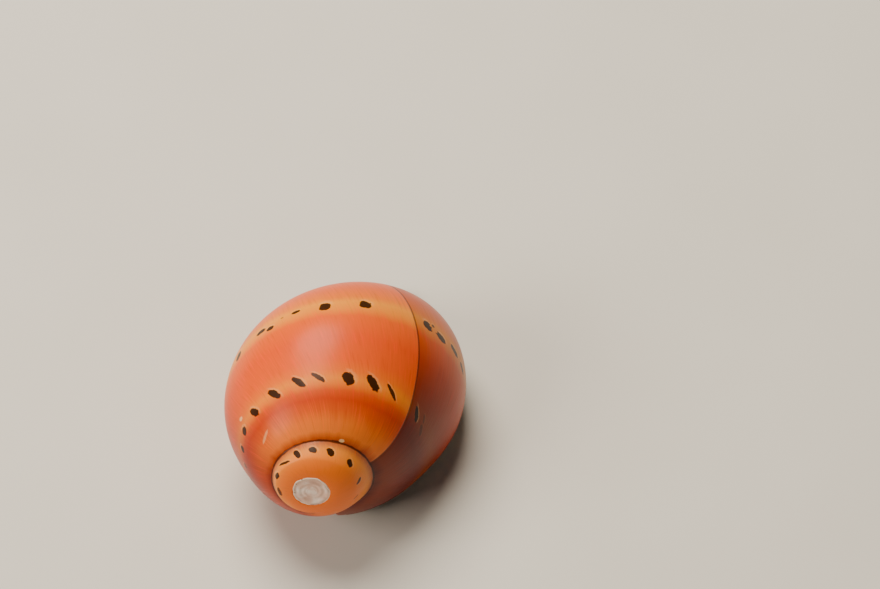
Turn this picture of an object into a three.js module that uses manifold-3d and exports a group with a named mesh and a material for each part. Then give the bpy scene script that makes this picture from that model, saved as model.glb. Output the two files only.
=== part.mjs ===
// A nerite snail at rest, life size: an orange track nerite, Vittina semiconica.
// The shell is a right-handed logarithmic spiral, carried with its spire towards -Y. The
// animal stands on the sole of its foot, and its head reaches out under the shell towards +Y.
// Lengths are millimetres and angles radians, unless a name says otherwise. +Z is up, the floor
// is z = 0, and the origin is the middle of the sole.
import * as THREE from "three";
import { mergeVertices } from "three/addons/utils/BufferGeometryUtils.js";
import Module from "manifold-3d";

const wasm = await Module();
wasm.setup();

const TURN = 2 * Math.PI;
const degrees = THREE.MathUtils.degToRad;
const at = (x, y, z) => new THREE.Vector3(x, y, z);

// Driving dimensions
const gap = 0.3; // kept between pieces that touch
const spiralSize = 6.8; // from the axis to the whorl's middle, straight under the axis
const growthPerTurn = 2.14; // each turn is this many times the size of the one before
const axisTilt = degrees(18); // how far the apex points above the floor
const mouthHeight = 2.7; // the plane of the shell's mouth above the middle of the sole
const mouthTilt = degrees(6); // that plane rises towards the head
const shellWall = 0.9; // thickness of the shell at its lip
const footWidth = 13;
const footLength = 18.6;
const footMargin = 0.75; // thickness of the foot at its edge
const tentacleRadius = 0.6; // at its root

// The whorl's section in spiral sizes, round its own middle, where s is 0 on the side away
// from the axis and a quarter turn on the side of the apex.
const growthRate = Math.log(growthPerTurn) / TURN;
const whorlDepth = 3.0; // of the section's middle below the spiral's apex
const whorlRadius = 1.56; // mean radius of the section
const innerEdge = 0.02; // the section stops this far from the axis
const ovalness = { cos2: -0.254, sin2: -0.179, cos3: 0.073, sin3: 0.058 };
function sectionRadius(s) {
  const { cos2, sin2, cos3, sin3 } = ovalness;
  const ellipse = cos2 * Math.cos(2 * s) + sin2 * Math.sin(2 * s);
  const shoulder = cos3 * Math.cos(3 * s) + sin3 * Math.sin(3 * s);
  return whorlRadius * (1 + ellipse + shoulder);
}

// The spiral's own apex stands so high that the older turns clear the mouth's plane.
const ventralReach = 3.33; // of a turn below the apex, in its own spiral sizes
const ventralHeight = 2.23; // of the last turn but one above the floor
const apex = at(-4.4, -17.6, ventralHeight + (ventralReach * spiralSize) / growthPerTurn);
const toApex = at(0, -Math.cos(axisTilt), Math.sin(axisTilt));
const toBack = at(0, Math.sin(axisTilt), Math.cos(axisTilt));
const toRight = at(1, 0, 0);

// A point of the whorl's surface. theta grows with the shell, clockwise seen from the apex, and
// is 0 where the whorl points straight down. grow moves the surface outwards.
function whorlPoint(theta, s, grow = 0) {
  const scale = spiralSize * Math.exp(growthRate * theta);
  const out = scale * sectionRadius(s) + grow;
  const radius = Math.max(scale + out * Math.cos(s), innerEdge * scale);
  const turn = -TURN / 4 - theta;
  return apex
    .clone()
    .addScaledVector(toRight, radius * Math.cos(turn))
    .addScaledVector(toBack, radius * Math.sin(turn))
    .addScaledVector(toApex, out * Math.sin(s) - whorlDepth * scale);
}

// A closed solid through rings of points, the same number in each, with a fan over each end.
function loft(rings) {
  const sides = rings[0].length;
  const last = rings.length - 1;
  const points = rings.flat();
  const faces = [];
  const index = (i, j) => i * sides + (j % sides);
  for (let i = 0; i < last; i++)
    for (let j = 0; j < sides; j++) {
      faces.push(index(i, j), index(i, j + 1), index(i + 1, j));
      faces.push(index(i, j + 1), index(i + 1, j + 1), index(i + 1, j));
    }
  for (const i of [0, last]) {
    const middle = at(0, 0, 0);
    for (const point of rings[i]) middle.addScaledVector(point, 1 / sides);
    points.push(middle);
    for (let j = 0; j < sides; j++) {
      const [a, b] = i ? [index(i, j), index(i, j + 1)] : [index(i, j + 1), index(i, j)];
      faces.push(a, b, points.length - 1);
    }
  }
  return solidOf(new THREE.BufferGeometry().setFromPoints(points).setIndex(faces));
}

// A stretch of whorl between two growth lines, each an angle or a function of s.
const sectionSides = 32;
function whorl(from, to, steps, grow = 0) {
  const angle = (line, s) => (typeof line === "function" ? line(s) : line);
  const ring = (i) =>
    Array.from({ length: sectionSides }, (_, j) => {
      const s = (TURN * j) / sectionSides;
      const theta = THREE.MathUtils.lerp(angle(from, s), angle(to, s), i / steps);
      return whorlPoint(theta, s, grow);
    });
  return loft(Array.from({ length: steps + 1 }, (_, i) => ring(i)));
}

// A growth line is a former lip. It runs ahead at the seam and lags at the base.
function growthLine(angle) {
  return (s) => {
    const q = Math.asin(Math.sin(s));
    return degrees(angle + 12.6 * q + 2 * q ** 3);
  };
}

// A tapering limb along a smooth curve through points, cut to the stretch from one share of
// its length to another. radius gives its radius at a share of the length.
const limbSides = 8;
function limb(points, radius, from = 0, to = 1, steps = 4, grow = 0) {
  const curve = new THREE.CatmullRomCurve3(points);
  const rings = Array.from({ length: steps + 1 }, (_, i) => {
    const share = THREE.MathUtils.lerp(from, to, i / steps);
    const middle = curve.getPointAt(share);
    const along = curve.getTangentAt(share);
    const side = at(0, 0, 1).cross(along).normalize();
    const up = along.clone().cross(side);
    return Array.from({ length: limbSides }, (_, j) => {
      const around = (TURN * j) / limbSides;
      return middle
        .clone()
        .addScaledVector(side, (radius(share) + grow) * Math.cos(around))
        .addScaledVector(up, (radius(share) + grow) * Math.sin(around));
    });
  });
  return loft(rings);
}

// A closed geometry as a manifold solid, and back as a named mesh.
function solidOf(geometry) {
  const bare = geometry.clone();
  bare.deleteAttribute("normal");
  bare.deleteAttribute("uv");
  const merged = mergeVertices(bare, 1e-5);
  return new wasm.Manifold(
    new wasm.Mesh({
      numProp: 3,
      vertProperties: new Float32Array(merged.attributes.position.array),
      triVerts: new Uint32Array(merged.index.array),
    }),
  );
}

function largest(solid) {
  return solid
    .decompose()
    .reduce((best, piece) => (piece.volume() > best.volume() ? piece : best));
}

const snail = new THREE.Group();
function addNode(name, solid, material) {
  const { vertProperties, triVerts } = largest(solid).getMesh();
  const geometry = new THREE.BufferGeometry()
    .setAttribute("position", new THREE.BufferAttribute(vertProperties, 3))
    .setIndex(new THREE.BufferAttribute(triVerts, 1));
  geometry.computeVertexNormals();
  const mesh = new THREE.Mesh(geometry, material);
  mesh.name = name;
  snail.add(mesh);
}

// An ellipsoid with its middle at a point and its half sizes along X, Y and Z.
function ellipsoid(middle, half, grow = 0, rings = 12) {
  const ball = new THREE.SphereGeometry(1, 2 * rings, rings);
  ball.scale(half.x + grow, half.y + grow, half.z + grow);
  return solidOf(ball.translate(middle.x, middle.y, middle.z));
}

// The half space under the mouth's plane, moved up by a height, and the one left of an x.
const far = 60; // beyond the snail on every side
function underMouth(height = 0) {
  const box = new THREE.BoxGeometry(2 * far, 2 * far, far).translate(0, 0, -far / 2);
  return solidOf(box.rotateX(mouthTilt).translate(0, 0, mouthHeight + height));
}
function leftOf(x) {
  return solidOf(new THREE.BoxGeometry(far, 2 * far, 2 * far).translate(x - far / 2, 0, 0));
}
const underFloor = solidOf(new THREE.BoxGeometry(far, far, far).translate(0, 0, -far / 2));
const mouthLevel = (y) => mouthHeight + y * Math.tan(mouthTilt);

function surface(color, roughness) {
  return new THREE.MeshStandardMaterial({ color, roughness, metalness: 0 });
}
const shellOrange = surface(0xd9651c, 0.22);
const wornCap = surface(0xd3b3a4, 0.6);
const callusWhite = surface(0xe9dcc0, 0.2);
const operculumTan = surface(0xb98f62, 0.35);
const fleshGrey = surface(0x6d6553, 0.5);
const eyeBlack = surface(0x0c0a09, 0.08);

// The spire: the older turns, eroded flat at the tip
const lastTurn = -TURN;
const spireTurns = 1.7;
function spireWhorls(grow = 0) {
  const oldest = lastTurn - spireTurns * TURN;
  const middle = lastTurn - TURN;
  const young = whorl(middle, lastTurn, 22, grow);
  return young.add(whorl(oldest, middle, 14, grow));
}
const wornDepth = 3.17; // of the worn tip below the spiral's own apex
const wornRadius = 1.7; // of the bare face there
const wornCurve = 0.17; // the worn dome falls by this times the square of the way out
const domeRadius = 9;
const domeStep = 0.6;
const capThickness = 0.9;
const dishHalf = at(1.3, 1.3, 0.22); // the worn face sinks in a shallow dish
const coreRadius = 0.5; // of the solid pillar on the axis
const coreDepth = 12;
const upright = new THREE.Quaternion().setFromUnitVectors(at(0, 1, 0), toApex);
function onAxis(geometry, depth) {
  const middle = apex.clone().addScaledVector(toApex, -depth);
  const turned = geometry.applyQuaternion(upright);
  return solidOf(turned.translate(middle.x, middle.y, middle.z));
}
function pillar(radius, depth) {
  const height = depth - wornDepth + gap;
  const disc = new THREE.CylinderGeometry(radius, radius, height, 28);
  return onAxis(disc.translate(0, height / 2, 0), depth);
}
function wornDome() {
  const profile = [new THREE.Vector2(0, -far), new THREE.Vector2(domeRadius, -far)];
  for (let radius = domeRadius; radius > wornRadius; radius -= domeStep)
    profile.push(new THREE.Vector2(radius, -wornCurve * (radius - wornRadius) ** 2));
  profile.push(new THREE.Vector2(wornRadius, 0), new THREE.Vector2(0, 0));
  return onAxis(new THREE.LatheGeometry(profile, 40), wornDepth);
}
const dish = new THREE.SphereGeometry(1, 20, 10).scale(dishHalf.x, dishHalf.z, dishHalf.y);
const worn = spireWhorls().add(pillar(coreRadius, coreDepth)).intersect(wornDome());
const cap = worn.intersect(pillar(wornRadius, wornDepth + capThickness));
const capSeat = pillar(wornRadius + gap, wornDepth + capThickness + gap);
addNode("shell_apex", cap.subtract(onAxis(dish, wornDepth)), wornCap);
addNode("shell_spire", worn.subtract(capSeat), shellOrange);

// The last turn, parted where its growth once halted
const haltAngle = -129.9;
const haltGap = 1.3; // degrees of turn that make the gap there
const startGap = degrees(2.2); // and the one where the last turn begins
const lipAngle = -12; // the whorl is drawn on this far and cut by the mouth's plane
const spireClear = spireWhorls(gap).add(pillar(coreRadius + gap, coreDepth + gap));
const bodyWhorl = whorl(lastTurn + startGap, growthLine(haltAngle), 34);
addNode("shell_body_whorl", bodyWhorl.subtract(spireClear).subtract(underMouth()), shellOrange);

// The callus: a broad shelf on the inner side of the mouth, with fine teeth on its edge
const shelfEdge = 0; // x of the toothed edge
const shelfMiddle = at(shelfEdge, -1.2, mouthHeight);
const shelfHalf = at(6.6, 9.4, 5.6);
const teeth = 7;
const toothSpacing = 1.15;
const toothSize = 0.5; // of the middle one, half its length across the edge
const toothShrink = 0.15; // less at the ends of the row
const toothDepth = 0.7; // half its height above the mouth's plane
function callus(grow = 0) {
  let shelf = ellipsoid(shelfMiddle, shelfHalf, grow);
  shelf = shelf.intersect(leftOf(shelfEdge + grow));
  for (let i = 0; i < teeth; i++) {
    const share = (i - (teeth - 1) / 2) / ((teeth - 1) / 2);
    const y = toothSpacing * (i - (teeth - 1) / 2);
    const size = toothSize - toothShrink * share ** 2;
    const middle = at(shelfEdge - toothShrink, y, mouthLevel(y) + toothDepth / 2);
    shelf = shelf.add(ellipsoid(middle, at(size, 0.8 * size, toothDepth), grow, 5));
  }
  return shelf.subtract(underMouth(grow ? -grow : 0));
}
const bodyClear = whorl(lastTurn, growthLine(haltAngle), 34, gap);
const callusBody = callus().subtract(bodyClear).subtract(spireClear);

// The growth after the halt, out to the lip, hollow where the animal comes out
const mouthDepth = 3.5; // how far up the hollow is modelled
const cavityStart = -118;
const lipEnd = -3.2; // x where the lip runs out on the callus
const rearCorner = { x: 2.4, back: -9.7, inner: -11, front: 0.5 }; // of the hollow, at the seam
function mouthSpace(inset, depth) {
  const { x, back, inner, front } = rearCorner;
  const corner = new THREE.Shape();
  corner.moveTo(shelfEdge, front);
  corner.lineTo(shelfEdge, inner + 1.4 * inset);
  corner.lineTo(x, back + 1.4 * inset);
  corner.lineTo(x, front);
  const block = new THREE.ExtrudeGeometry(corner, { depth: far / 4, bevelEnabled: false });
  return whorl(growthLine(cavityStart), degrees(lipAngle), 14, -inset)
    .add(solidOf(block))
    .intersect(underMouth(depth));
}
const lipWhorl = whorl(growthLine(haltAngle + haltGap), degrees(lipAngle), 22)
  .subtract(spireClear)
  .subtract(bodyClear)
  .subtract(underMouth())
  .subtract(callus(gap))
  .subtract(mouthSpace(shellWall, mouthDepth))
  .subtract(leftOf(lipEnd).intersect(underMouth(mouthDepth)));
addNode("shell_lip_whorl", lipWhorl, shellOrange);
addNode("shell_callus", callusBody, callusWhite);

// The base: shell laid over the hollow round the axis. Each of its rows leaves the last turn
// where that rounds under, and curves down and in to the rim round the callus.
const baseRows = 34;
const rowPoints = 7; // from the last turn down to the rim
const rowRoot = 2; // a row starts this deep inside the last turn
const rimLift = 0.38; // the rim is upright this far above the mouth's plane
const rimHalf = at(6.9, 11.1, 0);
const rimPull = 0.18; // the rim is drawn in by this share behind, where the turn bulges down
const hub = at(0, -1, 8); // the rows meet round it, inside the shell
const hubShare = 0.05;
const leavings = [
  [-94.5, -1.475],
  [-130, -1.22],
  [-180, -1.06],
  [-240, -1.0],
  [-300, -0.85],
  [-340, -0.6],
  [-372, -0.45],
].map(([angle, s]) => new THREE.Vector2(angle, s));
function rimPoint(angle) {
  const fromTop = angle + 180;
  const around = degrees(60 + 0.47 * fromTop + 3.8e-6 * fromTop ** 3);
  const pull = 1 - rimPull * THREE.MathUtils.smoothstep(-fromTop, 150, 192);
  const y = hub.y + pull * rimHalf.y * Math.sin(around);
  return at(hub.x - pull * rimHalf.x * Math.cos(around), y, mouthLevel(y) + rimLift);
}
function baseRow(angle, s) {
  const start = whorlPoint(degrees(angle), s);
  const end = rimPoint(angle);
  const third = start.distanceTo(end) / 3;
  const leave = whorlPoint(degrees(angle), s - 0.01).sub(start).setLength(third).add(start);
  const arrive = end.clone().lerp(start, 0.35 / 3).add(at(0, 0, third));
  const curve = new THREE.CubicBezierCurve3(start, leave, arrive, end);
  const root = whorlPoint(degrees(angle), s, -rowRoot);
  const low = end.clone().setZ(0);
  const middle = hub.clone().setZ(0).lerp(low, hubShare);
  return [root, ...curve.getPoints(rowPoints), low, middle, middle.clone().setZ(hub.z)];
}
const leaving = new THREE.SplineCurve(leavings).getPoints(baseRows);
const lipClear = whorl(growthLine(haltAngle), degrees(lipAngle), 22, gap);
const base = loft(leaving.map(({ x, y }) => baseRow(x, y)))
  .subtract(bodyClear)
  .subtract(lipClear)
  .subtract(spireClear)
  .subtract(callus(gap))
  .subtract(underMouth());
addNode("shell_base", base, shellOrange);

// The foot: a broad flat sole with a thin margin, rising to the body in the middle
const footTurn = degrees(12); // its front points this far to the right
function footSolid(grow = 0) {
  const profile = [
    [0, 0],
    [0.97, 0],
    [1, 0.4 * footMargin],
    [0.985, 0.85 * footMargin],
    [0.94, footMargin],
    [0.78, 1.35 * footMargin],
    [0.62, 2 * footMargin],
    [0.48, 3.2 * footMargin],
    [0.36, 5.5 * footMargin],
    [0, 7 * footMargin],
  ].map(([radius, height]) => new THREE.Vector2(radius, height + (height ? grow : 0)));
  const turned = new THREE.LatheGeometry(profile, 36).rotateX(TURN / 4);
  turned.scale(footWidth / 2 + grow, footLength / 2 + grow, 1).rotateZ(-footTurn);
  return solidOf(turned);
}

// The operculum: a half-moon plate that lies on the back of the foot, behind the body
const lidMiddle = at(-2.4, -6.0, 0);
const lidLength = 8.6;
const lidWidth = 5.2;
const lidThickness = 0.6;
const lidLevel = 1.12; // of its underside above the floor at its middle
const lidTurn = degrees(20);
const lidHinge = 0.32; // the straight edge's share of the width from the middle
const lidShoulder = 0.8; // the straight edge ends at this share of half the length
const lidHandle = 1.15; // and the curve leaves it towards this share
function operculum(grow = 0) {
  const outline = new THREE.Shape();
  const half = lidLength / 2 + grow;
  const straight = -lidHinge * lidWidth - grow;
  const round = lidWidth / 2 + grow;
  const start = straight + 0.4;
  outline.moveTo(straight, -lidShoulder * half);
  outline.bezierCurveTo(start, -lidHandle * half, round, -half, round, 0);
  outline.bezierCurveTo(round, half, start, lidHandle * half, straight, lidShoulder * half);
  outline.lineTo(straight, -lidShoulder * half);
  const plate = new THREE.ExtrudeGeometry(outline, {
    depth: lidThickness + 2 * grow,
    bevelEnabled: false,
    curveSegments: 10,
  });
  plate.translate(0, 0, -grow).rotateX(mouthTilt / 2).rotateZ(lidTurn);
  return solidOf(plate.translate(lidMiddle.x, lidMiddle.y, lidLevel));
}
const foot = footSolid().intersect(underMouth(-gap)).subtract(operculum(gap));
addNode("foot", foot, fleshGrey);
addNode("operculum", operculum(), operculumTan);

// The mantle: the body that fills the mouth of the shell, inside the lip
const mantle = mouthSpace(shellWall + gap, mouthDepth - gap)
  .subtract(bodyClear)
  .subtract(spireClear)
  .subtract(underMouth())
  .subtract(callus(gap))
  .subtract(leftOf(shelfEdge + gap));
addNode("mantle", mantle, fleshGrey);

// The head and the broad snout in front of it
const headMiddle = at(1.0, 9.0, 1.95);
const headHalf = at(3.0, 3.3, 1.35);
const snoutMiddle = at(1.1, 12.2, 0.75);
const snoutHalf = at(2.3, 1.75, 0.95);
const footClear = footSolid(gap);
const head = ellipsoid(headMiddle, headHalf).subtract(footClear).intersect(underMouth(-gap));
const headClear = ellipsoid(headMiddle, headHalf, gap);
const snout = ellipsoid(snoutMiddle, snoutHalf, 0, 9).subtract(headClear).subtract(footClear);
addNode("head", head, fleshGrey);
addNode("snout", snout.subtract(underFloor), fleshGrey);

// Tentacles in three lengths each, and an eye on a short stalk outside each root
const tentacleRoutes = {
  left: [
    at(-0.9, 10.5, 2.2),
    at(-2.8, 12.1, 2.2),
    at(-4.7, 13.0, 1.7),
    at(-6.3, 13.0, 1.2),
    at(-7.6, 12.4, 0.8),
  ],
  right: [
    at(2.6, 10.3, 2.2),
    at(3.5, 11.0, 2.0),
    at(4.4, 10.9, 1.5),
    at(5.3, 10.0, 1.0),
    at(5.9, 9.0, 0.8),
  ],
};
const tentacleCuts = [0.08, 0.4, 0.7, 1];
const tentacleTip = 0.22;
const taper = (share) => THREE.MathUtils.lerp(tentacleRadius, tentacleTip, share);
const stalkRoutes = {
  left: [at(-1.2, 9.5, 2.2), at(-2.2, 10.0, 2.5), at(-3.0, 10.4, 2.6)],
  right: [at(3.1, 9.3, 2.2), at(4.2, 9.6, 2.5), at(5.0, 9.8, 2.6)],
};
const stalkRadius = (share) => THREE.MathUtils.lerp(0.55, 0.42, share);
const eyeRadius = 0.42;
for (const side of ["left", "right"]) {
  const route = tentacleRoutes[side];
  const lengths = ["root", "middle", "tip"];
  const cutGap = gap / new THREE.CatmullRomCurve3(route).getLength();
  lengths.forEach((length, i) => {
    const from = tentacleCuts[i] + (i ? cutGap : 0);
    const piece = limb(route, taper, from, tentacleCuts[i + 1]);
    const clear = i ? piece : piece.subtract(headClear);
    addNode(`tentacle_${side}_${length}`, clear, fleshGrey);
  });
  const eye = stalkRoutes[side][2];
  const eyeHalf = at(eyeRadius, eyeRadius, eyeRadius);
  const stalk = limb(stalkRoutes[side], stalkRadius, 0, 1, 4)
    .subtract(headClear)
    .subtract(limb(route, taper, 0, 1, 10, gap))
    .subtract(ellipsoid(eye, eyeHalf, gap, 6));
  addNode(`eye_stalk_${side}`, stalk, fleshGrey);
  addNode(`eye_${side}`, ellipsoid(eye, eyeHalf, 0, 7), eyeBlack);
}

export default snail;
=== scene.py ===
import math

import bmesh
import bpy
import numpy as np
from mathutils import Matrix, Vector


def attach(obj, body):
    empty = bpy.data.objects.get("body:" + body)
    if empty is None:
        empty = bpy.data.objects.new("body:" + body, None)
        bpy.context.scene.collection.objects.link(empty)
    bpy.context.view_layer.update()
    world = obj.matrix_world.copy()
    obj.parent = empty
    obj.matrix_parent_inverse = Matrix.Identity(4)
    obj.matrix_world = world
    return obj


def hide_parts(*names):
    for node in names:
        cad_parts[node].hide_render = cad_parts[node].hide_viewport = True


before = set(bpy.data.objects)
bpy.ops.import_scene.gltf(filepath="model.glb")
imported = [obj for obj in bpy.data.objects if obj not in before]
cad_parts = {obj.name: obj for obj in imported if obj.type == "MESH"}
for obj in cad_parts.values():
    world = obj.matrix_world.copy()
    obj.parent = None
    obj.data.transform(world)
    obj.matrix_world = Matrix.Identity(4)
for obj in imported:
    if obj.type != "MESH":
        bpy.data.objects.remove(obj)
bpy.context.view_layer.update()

# An orange track nerite at rest on its sole, life size. Lengths here are millimetres unless a
# name says otherwise, and become metres when a mesh is made. +Z is up, the floor is z = 0, the
# spire points to -Y, the head to +Y, and the animal's right side is +X.

# The camera: a long lens above and behind the spire, looking down along the back of the shell.
millimetre = 0.001
camera_place = Vector((21.112, -158.798, 288.007))
camera_back = Vector((0.04661, -0.51398, 0.85653))
camera_right = Vector((0.99809, 0.05872, -0.01908))
camera_data = bpy.data.cameras.new("camera")
camera_data.lens = 140
camera_data.sensor_width = 36
camera_data.clip_start = 0.01
camera_data.clip_end = 10
camera = bpy.data.objects.new("camera", camera_data)
bpy.context.scene.collection.objects.link(camera)
camera_axes = Matrix((camera_right, camera_back.cross(camera_right), camera_back))
camera_turned = camera_axes.transposed().to_4x4()
camera.matrix_world = Matrix.Translation(camera_place * millimetre) @ camera_turned
bpy.context.scene.camera = camera

# The shell: one limy tube that the animal lays down at its lip, turn over turn, with a thin
# glossy skin outside. It is a right-handed logarithmic spiral, and its base rounds off below
# into the rim of the mouth.
spiral_size = 6.8
growth_per_turn = 2.14
growth_rate = math.log(growth_per_turn) / math.tau
whorl_depth = 3.0
whorl_radius = 1.56
second_harmonic = (-0.254, -0.179)
third_harmonic = (0.073, 0.058)
axis_tilt = math.radians(18)
apex_low, apex_share = 2.23, 3.33
spiral_apex = np.array([-4.4, -17.6, apex_low + apex_share * spiral_size / growth_per_turn])
to_right = np.array([1.0, 0.0, 0.0])
to_back = np.array([0.0, math.sin(axis_tilt), math.cos(axis_tilt)])
to_apex = np.array([0.0, -math.cos(axis_tilt), math.sin(axis_tilt)])


def section_radius(s):
    """The whorl's radius over the spiral's size: a circle with second and third harmonics."""
    oval = second_harmonic[0] * np.cos(2 * s) + second_harmonic[1] * np.sin(2 * s)
    three = third_harmonic[0] * np.cos(3 * s) + third_harmonic[1] * np.sin(3 * s)
    return whorl_radius * (1 + oval + three)


def whorl(turn, s):
    """Distance from the axis and depth below the apex of the whorl's surface, s round a section
    of the size e^(rate x turn)."""
    size = spiral_size * np.exp(growth_rate * turn)
    out = size * section_radius(s)
    return size + out * np.cos(s), whorl_depth * size - out * np.sin(s)


def round_axis(radius, turn, depth):
    """Points from their distance from the axis, angle of growth and depth below the apex."""
    across = (radius * np.cos(-math.pi / 2 - turn))[..., None]
    upward = (radius * np.sin(-math.pi / 2 - turn))[..., None]
    return spiral_apex + across * to_right + upward * to_back - depth[..., None] * to_apex


def seam_angles(pair, rounds=12, step=1e-6):
    """Where a turn meets the one before, as s on each of the two: Newton's method from a first
    guess, in a number of rounds, with slopes measured over a small step."""

    def miss(pair):
        return np.subtract(whorl(0.0, pair[0]), whorl(-math.tau, pair[1]))

    for _ in range(rounds):
        slopes = np.stack([(miss(pair + step * unit) - miss(pair)) / step for unit in np.eye(2)], 1)
        pair = pair - np.linalg.solve(slopes, miss(pair))
    return pair


def smooth_step(low, high, value):
    """0 at low, 1 at high, and a smooth cubic between."""
    share = np.clip((value - low) / (high - low), 0, 1)
    return share * share * (3 - 2 * share)


# The tip is worn to a flat face with a rounded shoulder, and the bare cap sits in it.
worn_depth = 3.17
worn_radius = 1.7
worn_curve = 0.17
worn_reach = 2.2
seat_depth = 0.45
seat_outer, seat_inner = 1.72, 1.58
wear_softness = 0.03


def worn_dome(radius):
    """Depth of the worn dome: flat out to the bare cap, then falling with the square of the way
    out, and in a straight line past the dome's reach."""
    past = np.maximum(radius - worn_radius, 0)
    near = np.minimum(past, worn_reach)
    return worn_depth + worn_curve * near * (2 * past - near)


def wear(radius, depth):
    """The whorl's depth, or the dome's where that lies deeper, with a seat for the cap."""
    over = (depth - worn_dome(radius)) / wear_softness
    seat = seat_depth * smooth_step(seat_outer, seat_inner, radius)
    return worn_dome(radius) + seat + wear_softness * np.logaddexp(0, over)


def worn_whorl(turn, s):
    """Points of the whorl's surface, worn where it is oldest."""
    radius, depth = whorl(turn, s)
    return round_axis(radius, np.broadcast_to(turn, radius.shape), wear(radius, depth))


# The mouth lies in a plane that rises a little towards the head.
mouth_height = 2.7
mouth_tilt = math.radians(6)
mouth_slope = math.tan(mouth_tilt)
rim_height = 0.38


def over_mouth(points):
    """Height of points above the middle of the lip's rounded edge."""
    return points[..., 2] - mouth_height - points[..., 1] * mouth_slope - rim_height


# The surface is one grid, turns along its rows and s down its columns, from the seam to the
# front crest and on over the base to the rim. The older turns are a second, narrower grid.
seam_new, seam_old = seam_angles(np.array([1.6, 0.53]))
row_step = 1.25
first_row, last_plain_row, lip_row = -372.0, -94.5, -12.0
older_rows, lip_rows = 550, 66
upper_count, middle_count, base_count = 40, 112, 34
crest = -1.475
base_end = -2.1
upper_s = np.linspace(seam_new, seam_old, upper_count)
middle_s = np.linspace(seam_old, crest, middle_count)[1:]
base_s = np.linspace(crest, base_end, base_count)[1:]
whorl_s = np.concatenate([upper_s, middle_s])
shell_s = np.concatenate([whorl_s, base_s])


def lip_turns(s, halvings=40):
    """The turn at which each line of equal s comes down to the lip's edge, by halving."""
    low = np.full(s.shape, math.radians(last_plain_row))
    high = np.full(s.shape, math.radians(lip_row))
    for _ in range(halvings):
        middle = (low + high) / 2
        above = over_mouth(worn_whorl(middle, s)) > 0
        low = np.where(above, middle, low)
        high = np.where(above, high, middle)
    return low


row_slack = 0.1
plain_turns = np.radians(np.arange(first_row, last_plain_row + row_slack, row_step))
lip_share = np.arange(1, lip_rows + 1)[:, None] / lip_rows
lip_ends = np.where(np.arange(len(whorl_s)) > 0, lip_turns(whorl_s), math.radians(lip_row))
lip_part = plain_turns[-1] + lip_share * (lip_ends - plain_turns[-1])
lip_part = np.concatenate([lip_part, np.repeat(lip_part[:, -1:], len(base_s), 1)], 1)
plain_part = np.repeat(plain_turns[:, None], len(shell_s), 1)
turns = np.concatenate([plain_part, lip_part])
across = np.broadcast_to(shell_s, turns.shape)

# Over the base each row leaves the whorl at its own s and curves down to the rim.
rim_middle = np.array([0.0, -1.0])
rim_half = np.array([6.9, 11.1])
rim_start, rim_pace, rim_hurry = 60, 0.47, 3.8e-6
rim_pull, pull_start, pull_end = 0.18, -150, -192


def rim_point(turn):
    """The rim's left side in plan: an ellipse, pulled in behind where the body bulges down. The
    angle round it runs with the turn and its cube."""
    from_top = np.degrees(turn) + 180
    angle = np.radians(rim_start + rim_pace * from_top + rim_hurry * from_top**3)
    pull = 1 - rim_pull * smooth_step(pull_start, pull_end, from_top)
    x = rim_middle[0] - pull * rim_half[0] * np.cos(angle)
    y = rim_middle[1] + pull * rim_half[1] * np.sin(angle)
    height = mouth_height + rim_height + y * mouth_slope
    return np.stack([x, y, height], -1)


leaving_places = [
    (-372, -0.45), (-340, -0.6), (-300, -0.85), (-240, -1.0), (-180, -1.06), (-130, -1.22), (-95, crest),
]


def leaving_s(turn, reach=16):
    """Where each row leaves the whorl for the base: s at a few turns, joined up by straight
    lines and then averaged over the rows within reach on both sides."""
    s = np.interp(np.degrees(turn), *zip(*leaving_places))
    kernel = np.hanning(2 * reach + 1)
    padded = np.pad(s, reach, mode="reflect", reflect_type="odd")
    return np.convolve(padded, kernel / kernel.sum(), "valid")


def bent_line(start, start_way, end, end_way, share):
    """A cubic from start to end that leaves and arrives along the two given ways."""
    t = share[..., None]
    rise = t * t * (3 - 2 * t)
    return (
        start * (1 - rise) + end * rise
        + start_way * (t * (1 - t) ** 2) - end_way * (t * t * (1 - t))
    )


shell_grid = worn_whorl(turns, across)
row_turns = turns[:, -1]
leave = np.where(np.arange(len(turns)) < len(plain_turns), leaving_s(row_turns), crest)
start = worn_whorl(row_turns, leave)
little_way, rim_lean = 0.01, 0.35
ahead = worn_whorl(row_turns, leave - little_way) - start
rim = rim_point(row_turns)
past_plain = np.concatenate([np.zeros(len(plain_turns)), lip_share[:, 0]])[:, None]
rim = rim + past_plain * (shell_grid[-1, len(whorl_s) - 1] - rim[-1])
reach = np.linalg.norm(rim - start, axis=1, keepdims=True)
start_way = ahead / np.linalg.norm(ahead, axis=1, keepdims=True) * reach
end_way = np.array([0.0, 0.0, -1.0]) * reach + rim_lean * (rim - start)
past_leaving = (leave[:, None] - across) / (leave[:, None] - base_end)
base_grid = bent_line(
    start[:, None], start_way[:, None], rim[:, None], end_way[:, None], np.clip(past_leaving, 0, 1)
)
shell_grid = np.where((past_leaving > 0)[..., None], base_grid, shell_grid)


def grid_faces(first, rows, columns, closed=False):
    """Quads between neighbours of a grid whose points are numbered on from first."""
    i = first + np.arange(rows - 1)[:, None] * columns
    j = np.arange(columns if closed else columns - 1)[None, :]
    k = (j + 1) % columns
    return np.stack([i + j, i + columns + j, i + columns + k, i + k], -1).reshape(-1, 4)


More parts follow.
